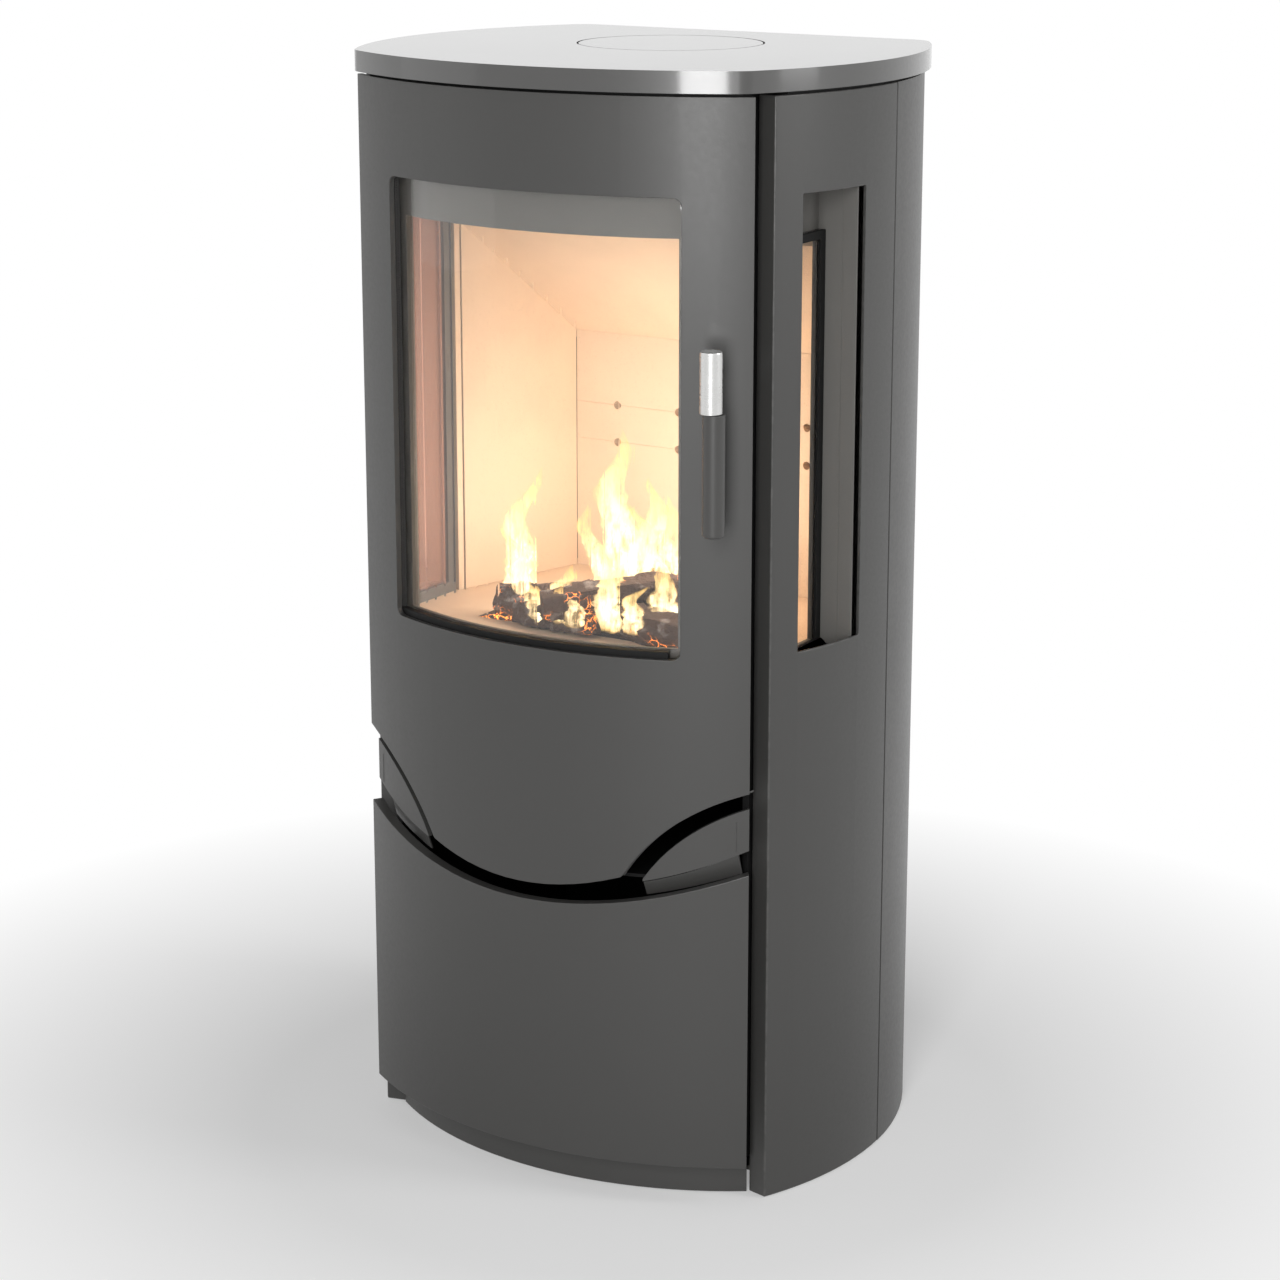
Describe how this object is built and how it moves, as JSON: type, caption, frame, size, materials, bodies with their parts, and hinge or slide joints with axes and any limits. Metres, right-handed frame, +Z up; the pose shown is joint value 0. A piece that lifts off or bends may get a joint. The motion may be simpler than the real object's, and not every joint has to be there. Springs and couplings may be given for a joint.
{
  "type": "wood burning stove",
  "caption": "Upright wood burning stove with a bowed front, a large door window, side windows, a bar handle and a hinged lower door over a storage compartment.",
  "frame": {"origin": "on the floor, under the middle of the bounding box", "axes": "+Z up, the door faces -Y, +X is the viewer's right"},
  "size_m": [0.4884, 0.4104, 1],
  "materials": {
    "stove_paint": "satin anthracite heat-proof paint",
    "black_paint": "matt black heat-proof paint",
    "inner_steel": "dark grey heat-proof paint on welded sheet",
    "fire_board": "dry cream fire board",
    "cast_iron": "raw grey casting",
    "zinc_steel": "zinc plated",
    "stainless_steel": "finely brushed stainless",
    "stove_glass": "clear heat-proof glass",
    "seal_rope": "knitted dark glass-fibre rope"
  },
  "bodies": {
    "stove_body": {"base_plate": "inner_steel", "plinth": "stove_paint", "levelling_foot_front_left": "zinc_steel", "levelling_foot_front_right": "zinc_steel", "levelling_foot_rear_left": "zinc_steel", "levelling_foot_rear_right": "zinc_steel", "front_post_left": "black_paint", "front_post_right": "black_paint", "side_panel_left": "stove_paint", "side_panel_right": "stove_paint", "rear_corner_left": "stove_paint", "rear_corner_right": "stove_paint", "back_panel": "stove_paint", "top_plate": "stove_paint", "top_frame": "black_paint", "flue_collar": "cast_iron", "firebox_shell": "inner_steel", "liner_back_lower": "fire_board", "liner_back_middle": "fire_board", "liner_back_upper": "fire_board", "liner_left": "fire_board", "liner_right": "fire_board", "hearth_liner": "fire_board", "grate": "cast_iron", "baffle_board": "fire_board", "side_glass_left": "stove_glass", "side_glass_right": "stove_glass", "side_window_frame_left": "black_paint", "side_window_frame_right": "black_paint", "ash_housing": "black_paint", "ash_pan": "zinc_steel", "compartment_side_left": "black_paint", "compartment_side_right": "black_paint", "compartment_back": "black_paint", "compartment_ceiling": "black_paint", "petal_left": "stove_paint", "petal_right": "stove_paint", "door_pivot_upper": "black_paint", "door_pivot_lower": "black_paint", "lower_door_pivot_upper": "black_paint", "lower_door_pivot_lower": "black_paint", "latch_keeper": "zinc_steel", "air_lever_pin": "zinc_steel"},
    "door": {"door_panel": "stove_paint", "door_inner_frame": "inner_steel", "door_glass": "stove_glass", "glass_gasket": "seal_rope", "door_seal": "seal_rope", "window_sill_trim": "black_paint", "door_hinge_upper": "black_paint", "door_hinge_lower": "black_paint"},
    "handle": {"handle_stem": "zinc_steel", "handle_cap": "stainless_steel", "handle_grip": "stove_paint", "latch_hook": "zinc_steel"},
    "lower_door": {"lower_door_panel": "stove_paint", "lower_door_hinge_upper": "black_paint", "lower_door_hinge_lower": "black_paint"},
    "air_lever_arm": {"air_lever": "black_paint"},
    "cover": {"flue_cover": "stove_paint"}
  },
  "joints": [
    {"name": "door_hinge", "type": "hinge", "parent": "stove_body", "child": "door", "pos_m": [-0.18732, -0.13299, 0.7], "axis": [0, 0, -1], "range_deg": [0, 90]},
    {"name": "handle_turn", "type": "hinge", "parent": "door", "child": "handle", "pos_m": [0.17256, -0.15579, 0.7513], "axis": [0.4664, -0.8846, 0], "range_deg": [0, 40]},
    {"name": "lower_door_hinge", "type": "hinge", "parent": "stove_body", "child": "lower_door", "pos_m": [-0.18732, -0.13299, 0.16], "axis": [0, 0, -1], "range_deg": [0, 90]},
    {"name": "air_lever_swing", "type": "hinge", "parent": "stove_body", "child": "air_lever_arm", "pos_m": [0, -0.05, 0.297], "axis": [0, 0, 1], "range_deg": [-15, 15]},
    {"name": "flue_cover_lift", "type": "slide", "parent": "stove_body", "child": "cover", "axis": [0, 0, 1], "range_m": [0, 0.06]}
  ]
}
